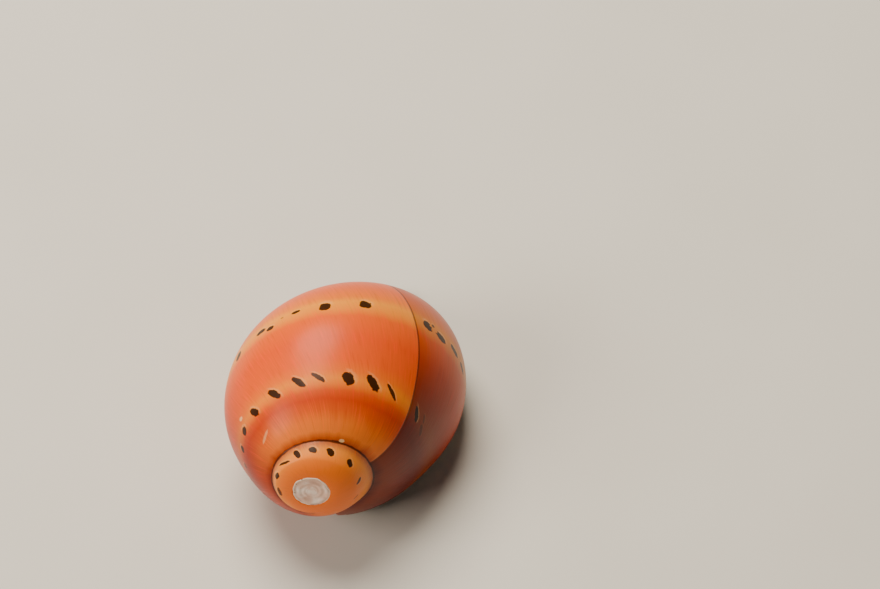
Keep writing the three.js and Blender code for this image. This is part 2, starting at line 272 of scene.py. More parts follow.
def zip_faces(left, right):
    """Triangles between two lines of points with the same start and unlike numbers of points."""
    left_share = np.linspace(0, 1, len(left))
    right_share = np.linspace(0, 1, len(right))
    left_middle = (left_share[1:] + left_share[:-1]) / 2
    right_middle = (right_share[1:] + right_share[:-1]) / 2
    by_left = right[np.searchsorted(right_middle, left_middle)]
    by_right = left[np.searchsorted(left_middle, right_middle, side="right")]
    one = np.stack([left[:-1], left[1:], by_left, by_left], -1)
    two = np.stack([right[1:], right[:-1], by_right, by_right], -1)
    return np.concatenate([one, two])


def fan_faces(loop, middle):
    """Triangles from a closed loop of points to one in the middle."""
    middles = np.full(len(loop), middle)
    return np.stack([loop, np.roll(loop, -1), middles, middles], -1)


same_place = 2e-7


def make_piece(name, points, faces, values={}, uv=None):
    """An object at the origin from points in millimetres: points that coincide become one, and
    values are kept at each corner of a face. A face whose last two corners are one point is a
    triangle."""
    mesh = bpy.data.meshes.new(name)
    mesh.vertices.add(len(points))
    mesh.vertices.foreach_set("co", (points * millimetre).astype(np.float32).ravel())
    used = np.ones(faces.shape, bool)
    used[:, 3] = faces[:, 3] != faces[:, 2]
    corners = faces[used]
    totals = used.sum(1)
    mesh.loops.add(len(corners))
    mesh.loops.foreach_set("vertex_index", corners.astype(np.int32))
    mesh.polygons.add(len(faces))
    mesh.polygons.foreach_set("loop_start", (np.cumsum(totals) - totals).astype(np.int32))
    mesh.update(calc_edges=True)
    for key, value in values.items():
        layer = mesh.attributes.new(key, "FLOAT", "CORNER")
        at_corners = value[used] if value.shape == faces.shape else value[corners]
        layer.data.foreach_set("value", at_corners.astype(np.float32))
    if uv is not None:
        layer = mesh.uv_layers.new(name="growth")
        layer.data.foreach_set("uv", uv[corners].astype(np.float32).ravel())
    shape = bmesh.new()
    shape.from_mesh(mesh)
    bmesh.ops.remove_doubles(shape, verts=shape.verts, dist=same_place)
    bmesh.ops.recalc_face_normals(shape, faces=shape.faces)
    shape.to_mesh(mesh)
    shape.free()
    mesh.shade_smooth()
    piece = bpy.data.objects.new(name, mesh)
    bpy.context.scene.collection.objects.link(piece)
    return piece


# The older turns, down to where the cap covers them, and the rim with its rounded edge and
# the inner wall behind it.
old_turns = np.radians(first_row - row_step * np.arange(older_rows, -1, -1))[:, None]
old_turns = np.repeat(old_turns, len(upper_s), 1)
old_grid = worn_whorl(old_turns, np.broadcast_to(upper_s, old_turns.shape))
rows, columns = turns.shape
grid_index = np.arange(rows * columns).reshape(rows, columns)
tiny = 1e-6
corner_column = int(np.argmax(lip_turns(whorl_s[1:]) < math.radians(lip_row) - tiny)) + 1
lip_edge = grid_index[-1, : len(whorl_s)]
rim_loop = np.concatenate([grid_index[:-1, -1], lip_edge[corner_column:][::-1]])
flat_points = shell_grid.reshape(-1, 3)
loop_points = flat_points[rim_loop]
loop_way = np.roll(loop_points, -1, 0)[:, :2] - np.roll(loop_points, 1, 0)[:, :2]
inward = np.stack([loop_way[:, 1], -loop_way[:, 0]], -1)
inward /= np.maximum(np.linalg.norm(inward, axis=1, keepdims=True), 1e-9)
even_reach = 12
kernel = np.hanning(2 * even_reach + 1)
kernel = kernel / kernel.sum()
padded = np.concatenate([inward[-even_reach:], inward, inward[:even_reach]])
inward = np.stack([np.convolve(padded[:, i], kernel, "valid") for i in (0, 1)], -1)
inward /= np.linalg.norm(inward, axis=1, keepdims=True)
lip_wall = 0.9
edge_angles = np.linspace(0, math.pi, 9)[1:]
wall_lines = 7
edge_inset = lip_wall / 2 * (1 - np.cos(edge_angles))
wall_inset = np.concatenate([edge_inset, lip_wall + np.linspace(0.05, 0.7, wall_lines)])
edge_rise = -rim_height * np.sin(edge_angles)
wall_rise = np.concatenate([edge_rise, np.linspace(0.3, 3.4, wall_lines)])
wall_grid = np.repeat(loop_points[None], len(wall_inset), 0)
wall_grid[..., :2] += wall_inset[:, None, None] * inward
wall_grid[..., 2] += wall_rise[:, None] + (wall_inset[:, None] * inward[:, 1]) * mouth_slope
ceiling = np.array([[0.0, -1.0, 8.0]])
cap_floor = round_axis(np.zeros(1), np.zeros(1), np.array([worn_depth + seat_depth]))

first_old = len(flat_points)
first_wall = first_old + old_grid[..., 0].size
last = first_wall + wall_grid[..., 0].size
old_index = first_old + np.arange(old_turns.size).reshape(old_turns.shape)
wall_index = first_wall + np.arange(wall_inset.size * len(rim_loop)).reshape(-1, len(rim_loop))
turn_rows = int(360 / row_step)
tip_loop = np.concatenate([old_index[: turn_rows + 1, 0][::-1], old_index[0, 1:]])
shell_points = np.concatenate(
    [flat_points, old_grid.reshape(-1, 3), wall_grid.reshape(-1, 3), ceiling, cap_floor]
)
shell_faces = np.concatenate(
    [
        grid_faces(0, rows, columns),
        grid_faces(first_old, *old_turns.shape),
        zip_faces(lip_edge[: corner_column + 1], grid_index[0, len(upper_s) - 1 :]),
        grid_faces(first_wall, len(wall_inset), len(rim_loop), closed=True),
        np.stack([rim_loop, wall_index[0], np.roll(wall_index[0], -1), np.roll(rim_loop, -1)], -1),
        fan_faces(wall_index[-1], last),
        fan_faces(tip_loop, last + 1),
    ]
)

# What the glaze follows: the turn and s of every point, the line of growth it lies on, its
# distance from the seam and past the line where growth once halted, and how far inside it is.
halt_angle = -129.9
growth_lean, growth_bend = 12.6, 2
swing_end = -1.4
tip_s = 1.0
loop_turns = np.concatenate([turns[:-1, -1], turns[-1, corner_column : len(whorl_s)][::-1]])
loop_s = np.concatenate([across[:-1, -1], across[-1, corner_column : len(whorl_s)][::-1]])
wall_turns = np.tile(loop_turns, len(wall_inset))
wall_s = np.tile(loop_s, len(wall_inset))
old_s = np.tile(upper_s, older_rows + 1)
tip_turn = old_turns[0, 0]
point_turn = np.concatenate([turns.ravel(), old_turns.ravel(), wall_turns, [0.0, tip_turn]])
point_s = np.concatenate([across.ravel(), old_s, wall_s, [base_end, tip_s]])
point_degrees = np.degrees(point_turn)
swing = np.arcsin(np.sin(np.maximum(point_s, swing_end)))
growth_angle = point_degrees - growth_lean * swing - growth_bend * swing**3
point_radius = whorl(point_turn, point_s)[0]
section_size = spiral_size * np.exp(growth_rate * point_turn) * section_radius(point_s)
point_number = np.arange(len(point_turn))
is_old = (point_number >= first_old) & (point_number < first_wall)

# The seam's line fades on the older turns: one turn back on its newer side, two on its older.
from_seam = (seam_new - point_s) * section_size + 2 * smooth_step(-360, -400, point_degrees)
from_old_side = (point_s - seam_old) * section_size + 2 * smooth_step(-720, -760, point_degrees)
from_seam = np.where(is_old, np.minimum(from_seam, from_old_side), from_seam)
wall_inside = np.repeat(np.clip(wall_inset / lip_wall, 0, 1), len(rim_loop))
inside = np.concatenate([np.zeros(first_wall), wall_inside, [1.0, 0.0]])

# The dashes stand in two rows round the last turn, one on the shoulder and one lower, and in one
# row on the spire. Each has its turn in degrees, s, length, width, tilt and how dark it is, and a
# mark with a darkness under 0 is pale.
shoulder_dashes = [
    (-288, 1.09, 0.4, 0.4, 0, 0.5), (-274.5, 1.058, 0.45, 0.55, 0, 0.8),
    (-259.9, 1.016, 0.6, 0.7, 0, 1), (-245.0, 0.968, 0.8, 0.8, 20, 1),
    (-227.4, 0.944, 1.35, 0.64, 50, 1), (-208.1, 0.917, 1.65, 0.64, 45, 1),
    (-190.4, 0.892, 1.7, 0.56, 42, 1), (-178.2, 0.874, 1.6, 0.42, 36, 0.97),
    (-160.1, 0.887, 1.45, 0.95, 48, 1), (-145.3, 0.881, 2.0, 0.75, 38, 1),
    (-132.4, 0.892, 1.9, 0.36, 36, 0.97), (-110.2, 0.913, 1.8, 0.46, 45, 1),
    (-103.5, 0.865, 1.0, 0.3, 40, 0.45), (-99.4, 0.98, 1.3, 0.4, 40, 0.45),
]
lower_dashes = [
    (-232, -0.362, 0.85, 1.1, 0, 1), (-213.4, -0.381, 1.15, 0.55, 3, 1),
    (-207.2, -0.319, 0.85, 0.55, 5, 1), (-200.5, -0.411, 0.3, 0.25, 0, 0.5),
    (-192.9, -0.414, 0.85, 0.4, 0, 1), (-178.3, -0.378, 1.1, 1.05, 12, 1),
    (-159.3, -0.398, 1.25, 0.95, 25, 1), (-126.9, -0.384, 1.35, 0.9, 22, 1),
    (-123.7, -0.443, 0.4, 0.4, 0, 0.9), (-118, -0.355, 1.8, 0.75, 17, 1),
    (-106.5, -0.379, 1.7, 0.65, 15, 1), (-96.5, -0.332, 1.5, 0.6, 20, 1),
]
spire_dashes = [
    (-638.3, 1.048, 1.0, 0.4, 0, 0.9), (-607.5, 0.907, 0.75, 0.55, 20, 1),
    (-583, 0.855, 1.5, 0.24, 20, 0.97), (-559.8, 0.837, 1.0, 0.45, 55, 1),
    (-538.1, 0.841, 0.85, 0.52, 35, 1), (-515.7, 0.887, 0.95, 0.55, 45, 1),
    (-485.9, 0.979, 0.9, 0.52, 42, 1), (-455.4, 1.105, 0.85, 0.32, 55, 0.95),
    (-428.5, 1.201, 0.7, 0.25, 40, 0.45),
]
scratches = [
    (-242.6, 0.769, 0.55, 0.35, 20, -0.7), (-228, 1.318, 1.4, 0.3, -25, -0.35),
    (-148, 1.57, 0.5, 0.35, 0, -0.8),
]
dashes = np.array(shoulder_dashes + lower_dashes + spire_dashes + scratches, float)
dash_turn, dash_s = np.radians(dashes[:, 0]), dashes[:, 1]
dash_point = worn_whorl(dash_turn, dash_s)
dash_step = 0.001
turn_way = (worn_whorl(dash_turn + dash_step, dash_s) - dash_point) / dash_step
s_way = (worn_whorl(dash_turn, dash_s + dash_step) - dash_point) / dash_step
turn_length = np.linalg.norm(turn_way, axis=1)
s_length = np.linalg.norm(s_way, axis=1)
corner_turn = point_turn[shell_faces]
corner_s = point_s[shell_faces]
face_x = (corner_turn.mean(1)[:, None] - dash_turn) * turn_length
face_y = (corner_s.mean(1)[:, None] - dash_s) * s_length
nearest = np.argmin(face_x**2 + face_y**2, axis=1)
tilt = np.radians(dashes[nearest, 4])[:, None]
x = (corner_turn - dash_turn[nearest, None]) * turn_length[nearest, None]
y = (corner_s - dash_s[nearest, None]) * s_length[nearest, None]
half_length = dashes[nearest, 2, None] / 2
half_width = dashes[nearest, 3, None] / 2
shell = make_piece(
    "shell",
    shell_points,
    shell_faces,
    values={
        "dash_along": (x * np.cos(tilt) + y * np.sin(tilt)) / half_length,
        "dash_across": (y * np.cos(tilt) - x * np.sin(tilt)) / half_width,
        "dash_ink": np.repeat(dashes[nearest, 5, None], 4, 1),
        "from_seam": from_seam,
        "past_halt": np.radians(growth_angle - halt_angle) * point_radius,
        "inside": inside,
    },
    uv=np.stack([growth_angle / 360, point_s / math.tau], -1),
)
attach(shell, "root")
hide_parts("shell_spire", "shell_body_whorl", "shell_lip_whorl", "shell_base")


def place(tree, kind, values={}, **settings):
    """A shader node of a kind, with a value or a link for each of its named inputs."""
    node = tree.nodes.new("ShaderNode" + kind)
    for key, value in settings.items():
        setattr(node, key, value)
    for key, value in values.items():
        if isinstance(value, bpy.types.NodeSocket):
            tree.links.new(value, node.inputs[key])
        else:
            node.inputs[key].default_value = value
    return node


def maths(tree, operation, *values):
    """The result of a sum on numbers or sockets."""
    return place(tree, "Math", dict(enumerate(values)), operation=operation).outputs[0]


def times(tree, one, other):
    """The product of two numbers or sockets."""
    return maths(tree, "MULTIPLY", one, other)


def fade(tree, value, low, high):
    """0 where the value is at low, 1 at high, smooth between."""
    values = {"Value": value, "From Min": low, "From Max": high}
    return place(tree, "MapRange", values, interpolation_type="SMOOTHSTEP").outputs["Result"]


def paint(code):
    """A colour from its six hexadecimal digits, as linear light by the sRGB curve."""
    levels = [int(code[i : i + 2], 16) / 255 for i in (0, 2, 4)]
    return [v / 12.92 if v < 0.04045 else ((v + 0.055) / 1.055) ** 2.4 for v in levels] + [1]


def blend(tree, share, under, over, way="MIX"):
    """Two colours mixed by a share."""
    values = {0: share, 6: under, 7: over}
    return place(tree, "Mix", values, data_type="RGBA", blend_type=way).outputs[2]


def colour_ramp(tree, value, stops):
    """Colours at given places from 0 to 1."""
    node = place(tree, "ValToRGB", {"Fac": value})
    elements = node.color_ramp.elements
    elements.remove(elements[1])
    elements[0].position = stops[0][0]
    elements[0].color = paint(stops[0][1])
    for position, code in stops[1:]:
        elements.new(position).color = paint(code)
    return node.outputs["Color"]


def noise(tree, vector, scale, detail=2.0):
    """Smooth random values from 0 to 1, about 0.5."""
    values = {"Vector": vector, "Scale": scale, "Detail": detail}
    return place(tree, "TexNoise", values).outputs["Fac"]


def read(tree, name):
    """A piece's own value by name."""
    return place(tree, "Attribute", attribute_name=name).outputs["Fac"]


def new_material(piece, name, roughness, coat=0.0, coat_roughness=0.1, specular=0.5):
    """A material on a piece: its tree, its shader and the place on the piece, in metres."""
    material = bpy.data.materials.new(name)
    material.use_nodes = True
    tree = material.node_tree
    shader = tree.nodes["Principled BSDF"]
    shader.inputs["Roughness"].default_value = roughness
    shader.inputs["Specular IOR Level"].default_value = specular
    shader.inputs["Coat Weight"].default_value = coat
    shader.inputs["Coat Roughness"].default_value = coat_roughness
    piece.data.materials.append(material)
    return tree, shader, place(tree, "TexCoord").outputs["Object"]


def dress(tree, shader, colour, height=None, strength=0.0, distance=0.0):
    """The shader's colour and, where a height is given, its bump, with the distance in metres."""
    tree.links.new(colour, shader.inputs["Base Color"])
    if height is not None:
        bump = place(tree, "Bump", {"Height": height, "Strength": strength, "Distance": distance})
        tree.links.new(bump.outputs["Normal"], shader.inputs["Normal"])


# The glaze: orange, in bands that follow the turns, with fine streaks along the growth lines,
# browner after the halt, partly its own colour and partly painted shade, with painted shade over
# the lower left of the last turn, and the dashes in near-black. A band's place is its s.
band_low, band_high = -1.8, 1.62
bands = [
    (1.60, "A63C0A"), (1.50, "EE7824"), (1.40, "EA701C"), (1.28, "D4520C"), (1.16, "C43C04"),
    (1.06, "D24C06"), (0.97, "EC740E"), (0.89, "F28414"), (0.78, "EE6A10"), (0.60, "EC580A"),
    (0.20, "E85008"), (-0.18, "EC5E0C"), (-0.32, "F58A1C"), (-0.45, "F8981E"), (-0.55, "F07A1C"),
    (-0.75, "EA6018"), (-1.20, "E45214"), (-1.70, "DC6428"),
]
stops = [((s - band_low) / (band_high - band_low), code) for s, code in reversed(bands)]
# The spire's ramp is brighter through its middle than the last turn's bands: partly its own colour and
# partly painted light on the spire, which faces up towards the light.
spire_stops = [
    (0.66, "9C5030"), (0.71, "BC6634"), (0.76, "EE8A2A"), (0.80, "F88A24"), (0.88, "F87A1A"),
    (1.0, "F47214"),
]
# The second of these browns is painted shade, and the third is partly the glaze's own brown and partly
# painted shade.
spire_orange, painted_shade_brown, halt_brown_and_shade = paint("F47214"), paint("B0602C"), paint("74401A")
light_streak, dark_streak = paint("F6B060"), paint("9A3408")
line_brown, dash_black, pale_mark = paint("3A1606"), paint("160C07"), paint("F8C88C")
inner_cream = paint("F2DDB4")
streak_scale, broad_scale = (330, 16, 1), (46, 5, 1)
tree, shader, place_on = new_material(shell, "shell_glaze", 0.34, 0.03, 0.2, 0.17)
growth = place(tree, "UVMap", uv_map="growth").outputs["UV"]
growth_parts = place(tree, "SeparateXYZ", {"Vector": growth})
turn_value, section_value = growth_parts.outputs["X"], growth_parts.outputs["Y"]
streak_map = place(tree, "Mapping", {"Vector": growth, "Scale": streak_scale}).outputs["Vector"]
streaks = noise(tree, streak_map, 1.0, 4.0)
broad_map = place(tree, "Mapping", {"Vector": growth, "Scale": broad_scale}).outputs["Vector"]
broad = noise(tree, broad_map, 1.0, 3.0)
wander = maths(tree, "MULTIPLY_ADD", broad, 0.014, -0.013)
wander = maths(tree, "MULTIPLY_ADD", streaks, 0.012, wander)
s_value = times(tree, maths(tree, "ADD", section_value, wander), math.tau)
band_place = maths(tree, "SUBTRACT", s_value, band_low)
band_place = maths(tree, "DIVIDE", band_place, band_high - band_low)
last_turn = colour_ramp(tree, band_place, stops)
oldest = fade(tree, turn_value, -1.9, -2.0)
spire_colour = blend(tree, oldest, colour_ramp(tree, band_place, spire_stops), spire_orange)
# Painted shade: the lower left of the last turn, between growth turns -0.64 and -0.84, is darkened
# towards brown.
painted_left_shade = times(tree, fade(tree, turn_value, -0.64, -0.84), 0.9)
last_turn = blend(tree, painted_left_shade, last_turn, painted_shade_brown, "MULTIPLY")
glaze = blend(tree, fade(tree, turn_value, -1.02, -1.12), last_turn, spire_colour)
glaze = blend(tree, fade(tree, streaks, 0.5, 0.75), glaze, light_streak, "SOFT_LIGHT")
dark_streaks = times(tree, fade(tree, streaks, 0.48, 0.25), 0.16)
glaze = blend(tree, dark_streaks, glaze, dark_streak, "MULTIPLY")
past = read(tree, "past_halt")
after = times(tree, fade(tree, past, 0.0, 0.15), fade(tree, past, 28, 8))
# After the halt the glaze is multiplied towards brown, more so at higher s: partly the shell's own
# browner colour and partly painted shade on the side away from the light.
brown_and_painted_shade = maths(tree, "MULTIPLY_ADD", fade(tree, section_value, -0.06, 0.16), 0.52, 0.4)
glaze = blend(tree, times(tree, after, brown_and_painted_shade), glaze, halt_brown_and_shade, "MULTIPLY")
halt_line = times(tree, fade(tree, past, -0.13, -0.05), fade(tree, past, 0.16, 0.06))
seam_wander = maths(tree, "MULTIPLY_ADD", noise(tree, place_on, 1500), 0.2, -0.1)
seam_distance = maths(tree, "ADD", read(tree, "from_seam"), seam_wander)
seam_line = fade(tree, seam_distance, 0.16, 0.05)
lines = maths(tree, "MAXIMUM", times(tree, halt_line, 0.95), seam_line)
glaze = blend(tree, times(tree, lines, 0.85), glaze, line_brown)

# A dash is a rounded box, full where its reach is under 1, and noise makes its edge ragged. A
# faint pale halo lies below each.
ragged = place(tree, "TexNoise", {"Vector": place_on, "Scale": 2600, "Detail": 3})
ragged_parts = place(tree, "SeparateColor", {"Color": ragged.outputs["Color"]})
ragged_x = maths(tree, "MULTIPLY_ADD", ragged_parts.outputs[0], 0.5, -0.25)
ragged_y = maths(tree, "MULTIPLY_ADD", ragged_parts.outputs[1], 0.9, -0.45)
dash_x = maths(tree, "ADD", read(tree, "dash_along"), ragged_x)
dash_y = maths(tree, "ADD", read(tree, "dash_across"), ragged_y)
long_way = maths(tree, "POWER", maths(tree, "ABSOLUTE", dash_x), 2.6)
dash_reach = maths(tree, "ADD", long_way, times(tree, dash_y, dash_y))
ink = read(tree, "dash_ink")
dark_ink = maths(tree, "MAXIMUM", ink, 0.0)
pale_ink = maths(tree, "MAXIMUM", times(tree, ink, -1), 0.0)
dark = times(tree, fade(tree, dash_reach, 1.15, 0.8), dark_ink)
pale = times(tree, fade(tree, dash_reach, 1.3, 0.6), pale_ink)
below = times(tree, fade(tree, dash_y, -0.2, -1.0), fade(tree, dash_reach, 3.2, 1.2))
halo = times(tree, times(tree, below, 0.25), fade(tree, ink, 0.3, 0.9))
glaze = blend(tree, maths(tree, "MAXIMUM", halo, pale), glaze, pale_mark)
glaze = blend(tree, times(tree, dark, 0.96), glaze, dash_black)
glaze = blend(tree, fade(tree, read(tree, "inside"), 0.05, 0.6), glaze, inner_cream)
height = maths(tree, "MULTIPLY_ADD", streaks, 0.35, times(tree, broad, 0.5))
height = maths(tree, "SUBTRACT", height, times(tree, lines, 0.8))
dress(tree, shader, glaze, height, 0.25, 0.00012)

# The bare cap: the tip of the spire, where the glaze is gone and the chalky inside shows. It
# is a shallow uneven dish with the ends of the older turns in it.
cap_mean_radius = 1.78
cap_waves = [(0.045, 2, 1.1), (0.035, 5, 0), (0.022, 11, 2)]
cap_lift, cap_hollow = 0.02, 0.1
ridge_height, ridge_growth, ridge_start = 0.045, 1.7, 0.1
cap_rings = 30
cap_edge_share = [0.965, 0.99, 1.0, 0.99, 0.96, 0.5, 0.02]
cap_edge_fall = [0.012, 0.04, 0.1, 0.3, 0.42, 0.42, 0.42]
cap_middle_falls = np.array([0.09, 0.4])
cap_angles = np.linspace(0, math.tau, 120, endpoint=False)
cap_wave = sum(size * np.sin(count * cap_angles + start) for size, count, start in cap_waves)
cap_radius = cap_mean_radius + cap_wave
cap_share = np.concatenate([np.linspace(0.02, 0.93, cap_rings), cap_edge_share])
cap_fall = np.concatenate([np.zeros(cap_rings), cap_edge_fall])[:, None]
cap_way = cap_share[:, None] * cap_radius
cap_dish = cap_hollow * (1 - cap_share**2)[:, None]
cap_turn = -cap_angles[None, :] + 0 * cap_way
ridge_turns = np.log(np.maximum(cap_way, ridge_start)) / math.log(ridge_growth)
cap_ridge = ridge_height * np.cos(math.tau * ridge_turns + cap_turn) * cap_share[:, None]
cap_upper = (np.arange(len(cap_share)) <= cap_rings)[:, None]
cap_depth = worn_depth - cap_lift + cap_fall + cap_upper * (cap_dish + cap_ridge)
cap_grid = round_axis(cap_way, cap_turn, cap_depth)
cap_middles = round_axis(np.zeros(2), np.zeros(2), worn_depth + cap_middle_falls)


def closed_form(rings, first=0, middles=None):
    """The points and faces of a form through rings of points, numbered on from first. A fan
    closes each end, to the given middles or else to the middles of the end rings."""
    if middles is None:
        middles = rings[[0, -1]].mean(1)
    index = first + np.arange(rings[..., 0].size).reshape(rings.shape[:2])
    last = first + index.size
    faces = [
        grid_faces(first, *rings.shape[:2], closed=True),
        fan_faces(index[0], last),
        fan_faces(index[-1], last + 1),
    ]
    return np.concatenate([rings.reshape(-1, 3), middles]), np.concatenate(faces)


cap = make_piece(
    "worn_tip",
    *closed_form(cap_grid, middles=cap_middles),
    values={"way_out": np.concatenate([np.repeat(cap_share, len(cap_angles)), [0, 0]])},
)
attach(cap, "root")
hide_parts("shell_apex")


def mottle_group():
    """Soft-edged spots from noise, as a mask: 0 where the noise is at From, 1 at To."""
    group = bpy.data.node_groups.new("mottle", "ShaderNodeTree")
    sockets = group.interface
    sockets.new_socket("Vector", in_out="INPUT", socket_type="NodeSocketVector")
    for name in ("Scale", "From", "To"):
        sockets.new_socket(name, in_out="INPUT", socket_type="NodeSocketFloat")
    sockets.new_socket("Mask", in_out="OUTPUT", socket_type="NodeSocketFloat")
    way_in = group.nodes.new("NodeGroupInput").outputs
    way_out = group.nodes.new("NodeGroupOutput")
    spots = noise(group, way_in["Vector"], way_in["Scale"], 3.0)
    group.links.new(fade(group, spots, way_in["From"], way_in["To"]), way_out.inputs["Mask"])
    return group


mottle = mottle_group()


def spots_on(tree, vector, scale, low, high):
    """The mask of a mottle group placed in a material."""
    values = {"Vector": vector, "Scale": scale, "From": low, "To": high}
    return place(tree, "Group", values, node_tree=mottle).outputs["Mask"]


# Chalky pinkish grey, with the old turns as faint rings, brown stain, and a thin bright line at the
# edge that is a painted highlight.
bare_pink, bare_white, bare_dull = paint("E8BEA8"), paint("FFE8DA"), paint("C08E7A")
# The middle colour of these is a painted highlight for the cap's rim.
stain_brown, painted_rim_highlight, pit_brown = paint("8A4A22"), paint("FFEBD2"), paint("2A1408")
tree, shader, place_on = new_material(cap, "bare_shell", 0.5, specular=0.3)
way_out = read(tree, "way_out")
chalk = blend(tree, spots_on(tree, place_on, 900, 0.4, 0.66), bare_pink, bare_white)
faint = times(tree, spots_on(tree, place_on, 600, 0.5, 0.7), 0.45)
chalk = blend(tree, faint, chalk, bare_dull)
stain = times(tree, fade(tree, way_out, 0.7, 0.95), spots_on(tree, place_on, 900, 0.45, 0.6))
chalk = blend(tree, times(tree, stain, 0.7), chalk, stain_brown)
# Painted highlight: a thin bright line just inside the cap's edge.
chalk = blend(tree, times(tree, fade(tree, way_out, 0.9, 0.94), 0.9), chalk, painted_rim_highlight)
pits = times(tree, fade(tree, way_out, 0.8, 0.92), spots_on(tree, place_on, 2200, 0.64, 0.68))
chalk = blend(tree, pits, chalk, pit_brown)
dress(tree, shader, chalk, noise(tree, place_on, 2500, 4.0), 0.4, 0.00012)

# The callus: a thick smooth shelf of enamel over the inner side of the mouth, with fine teeth
# along its edge. It is laid down on the rim's left half, and fills it.
tooth_count, tooth_pitch, tooth_width, tooth_length = 7, 1.15, 0.27, 0.42
tooth_end, tooth_start = 1.7, 0.6
shelf_bite, shelf_nearest, shelf_top = 0.8, -0.4, 3.1
shelf_face = [
    (0, 1.6), (0, 0.6), (0.03, 0.3), (0.1, 0.2), (0.3, 0.12), (0.5, 0.1), (0.7, 0.14),
]
shelf_edge = [
    (0.7, 0.16), (0.35, 0.22), (0.12, 0.36), (0, 0.6), (0, 1.0), (0.05, 1.6), (0.1, shelf_top),
]
edge_bow = 0.05
tooth_places = tooth_pitch * (np.arange(tooth_count) - tooth_count // 2)
shelf_rows = np.arange(2, len(turns) - 2, 2)


def over_floor(x, y, height):
    """Points at a height over the plane of the mouth."""
    return np.stack([x, y, mouth_height + height + y * mouth_slope], -1)


# Its section goes from the rim over the lower face, by shares of the way in, round the toothed
# edge, by lengths back from it, and over the hidden top to the rim again.
shelf_wall = loop_points[shelf_rows, :2] + shelf_bite * inward[shelf_rows]
wall_x, wall_y = np.minimum(shelf_wall[:, 0], shelf_nearest), shelf_wall[:, 1]
tooth_rise = np.exp(-(((wall_y[:, None] - tooth_places) / tooth_width) ** 2)).sum(1)
shelf_lines = []
for share, height in shelf_face:
    x = wall_x * (1 - share)
    shelf_lines.append(over_floor(x, wall_y, height + 0 * x))
for back, height in shelf_edge:
    tooth = tooth_length * tooth_rise * smooth_step(tooth_end, tooth_start, height)
    x = edge_bow * wall_x * smooth_step(0, 1, back) - back + tooth * (1 - back)
    shelf_lines.append(over_floor(x, wall_y, height + 0 * x))
shelf_lines.append(over_floor(wall_x, wall_y, shelf_top + 0 * x))
callus = make_piece("callus", *closed_form(np.stack(shelf_lines, 1)))
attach(callus, "root")
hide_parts("shell_callus")
enamel_white, enamel_gold, enamel_dull = paint("F4E8CC"), paint("EFC07A"), paint("E9D2A6")
gold_start, gold_end = -0.002, -0.0062
tree, shader, place_on = new_material(callus, "enamel", 0.22, 0.3, 0.08)
parts = place(tree, "SeparateXYZ", {"Vector": place_on})
near_rim = fade(tree, parts.outputs["X"], gold_start, gold_end)
enamel = blend(tree, near_rim, enamel_white, enamel_gold)
enamel = blend(tree, spots_on(tree, place_on, 260, 0.45, 0.7), enamel, enamel_dull)
dress(tree, shader, enamel, noise(tree, place_on, 500), 0.2, 0.0002)

# The operculum: the half-moon plate that shuts the mouth when the animal draws in. It is
# carried on the back of the foot, and grows in rings from one end of its straight edge.
lid_length, lid_width, lid_thickness = 8.6, 5.2, 0.6
lid_bow, lid_fullness, lid_back, lid_shift = 0.82, 0.85, 0.25, 0.32
lid_middle = np.array([-2.4, -6.0, 1.12])
lid_turn = math.radians(20)
lid_nucleus = np.array([-0.9, -2.6])
lid_lines = 46
lid_edge_share = [0.975, 0.995, 1.0, 0.995, 0.97, 0.5, 0.02]
lid_edge_rise = [0.96, 0.85, 0.5, 0.15, 0, 0, 0]
ring_height, ring_pace, ring_end = 0.022, 74, 0.96
lid_around = np.linspace(0, math.tau, 144, endpoint=False)
lid_side = np.cos(lid_around)
lid_front = lid_bow * lid_width * np.abs(lid_side) ** lid_fullness
lid_x = np.where(lid_side > 0, lid_front, -lid_back * np.abs(lid_side))
lid_outline = np.stack([lid_x - lid_shift * lid_width, lid_length / 2 * np.sin(lid_around)], -1)
lid_shares = np.concatenate([np.linspace(0.02, 0.95, lid_lines), lid_edge_share])
lid_rise = lid_thickness * np.concatenate([np.ones(lid_lines), lid_edge_rise])
lid_plan = lid_nucleus + lid_shares[:, None, None] * (lid_outline - lid_nucleus)
lid_rings = ring_height * np.sin(lid_shares * ring_pace) * (lid_shares < ring_end)
lid_height = (lid_rise + lid_rings)[:, None] + 0 * lid_plan[..., 0]
lid_tilted = lid_height + lid_plan[..., 1] * math.tan(mouth_tilt / 2)


def turned(x, y, angle):
    """Two level coordinates turned by an angle about the upright axis."""
    return x * math.cos(angle) - y * math.sin(angle), x * math.sin(angle) + y * math.cos(angle)


lid_grid = np.stack([*turned(lid_plan[..., 0], lid_plan[..., 1], lid_turn), lid_tilted], -1)
operculum = make_piece(
    "operculum_plate",
    *closed_form(lid_grid + lid_middle),
    values={"grown": np.concatenate([np.repeat(lid_shares, len(lid_around)), [0, 0]])},
)
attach(operculum, "root")
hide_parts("operculum")
plate_stops = [
    (0.0, "8A5A30"), (0.3, "C09060"), (0.45, "A56E3C"), (0.62, "D2A678"), (0.8, "B47A46"),
    (1.0, "6E4220"),
]
plate_light, plate_dark = paint("E0BC92"), paint("7A4C28")
tree, shader, place_on = new_material(operculum, "limy_plate", 0.35, 0.2, 0.15)
grown = maths(tree, "MULTIPLY_ADD", noise(tree, place_on, 700), 0.05, read(tree, "grown"))
plate = colour_ramp(tree, grown, plate_stops)
rings = maths(tree, "SINE", times(tree, grown, 2 * ring_pace))
plate = blend(tree, fade(tree, rings, 0.2, 1.0), plate, plate_light, "SOFT_LIGHT")
plate = blend(tree, spots_on(tree, place_on, 900, 0.55, 0.7), plate, plate_dark)
dress(tree, shader, plate, rings, 0.25, 0.00006)

